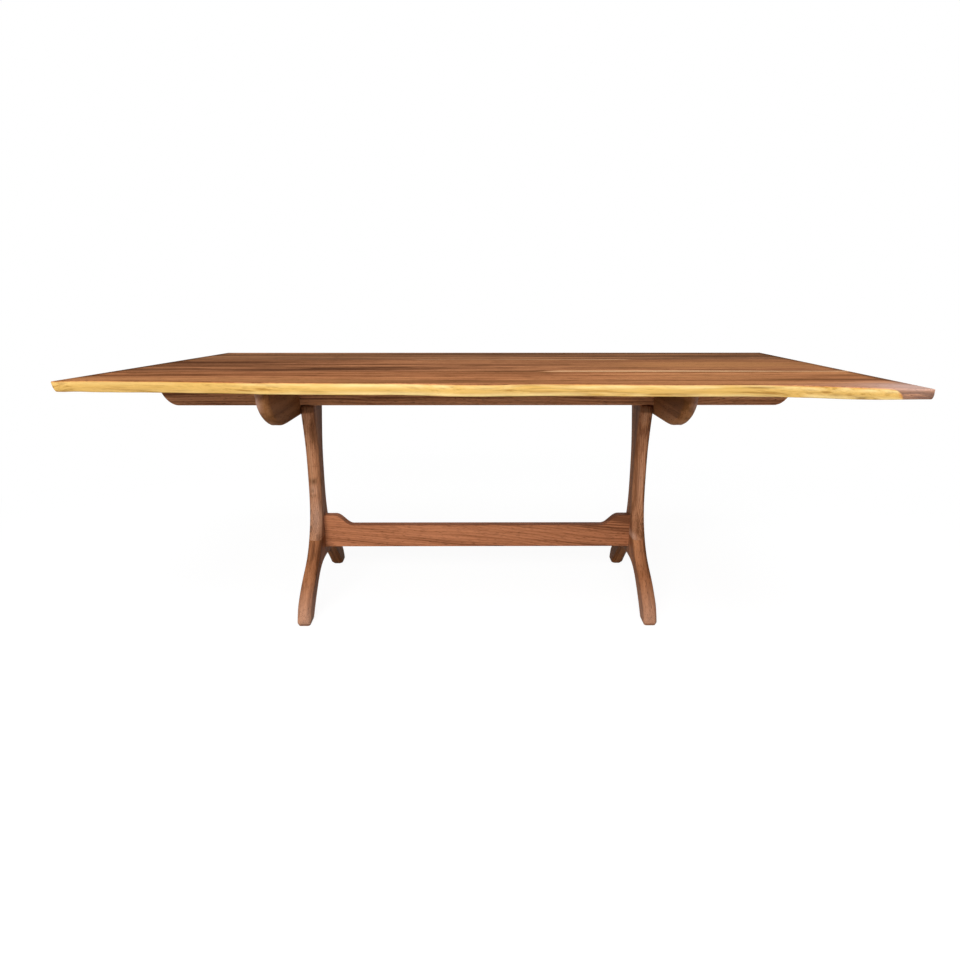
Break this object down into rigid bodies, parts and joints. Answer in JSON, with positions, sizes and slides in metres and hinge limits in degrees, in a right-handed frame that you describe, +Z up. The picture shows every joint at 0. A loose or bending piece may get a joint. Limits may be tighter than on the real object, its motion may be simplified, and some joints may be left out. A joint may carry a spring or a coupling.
{
  "type": "trestle dining table",
  "caption": "Long wooden dining table: a plank top with a slanting live front edge on waisted trestles with splayed legs, joined by a low stretcher.",
  "frame": {"origin": "on the floor, below the middle of the box that the table fills", "axes": "+X along the table to the right as seen from the live edge, +Y to the straight rear edge, +Z up"},
  "size_m": [2.1584, 1.092, 0.762],
  "materials": {
    "top_wood": "oiled satin, pale sapwood along the live edge",
    "frame_wood": "oiled satin",
    "inner_wood": "bare",
    "plug_wood": "oiled satin",
    "steel": "zinc plated",
    "brass": "turned"
  },
  "bodies": {
    "root": {"top_board_front": "top_wood", "top_board_middle": "top_wood", "top_board_rear": "top_wood", "loose_tongue_front": "inner_wood", "loose_tongue_rear": "inner_wood", "rail_front": "frame_wood", "rail_rear": "frame_wood", "bearer_left": "frame_wood", "bearer_right": "frame_wood", "loose_tenons_left": "inner_wood", "loose_tenons_right": "inner_wood", "column_left": "frame_wood", "column_right": "frame_wood", "leg_left_front": "frame_wood", "leg_left_rear": "frame_wood", "leg_right_front": "frame_wood", "leg_right_rear": "frame_wood", "stretcher": "frame_wood", "stretcher_bolts": "steel", "stretcher_bolt_washers": "steel", "stretcher_bolt_plugs": "plug_wood", "stretcher_barrel_nuts": "steel", "bearer_bolts": "steel", "bearer_bolt_washers": "steel", "bearer_bolt_plugs": "plug_wood", "bearer_inserts": "brass", "lap_screws": "steel", "top_screws": "steel", "top_washers": "steel"}
  },
  "joints": []
}
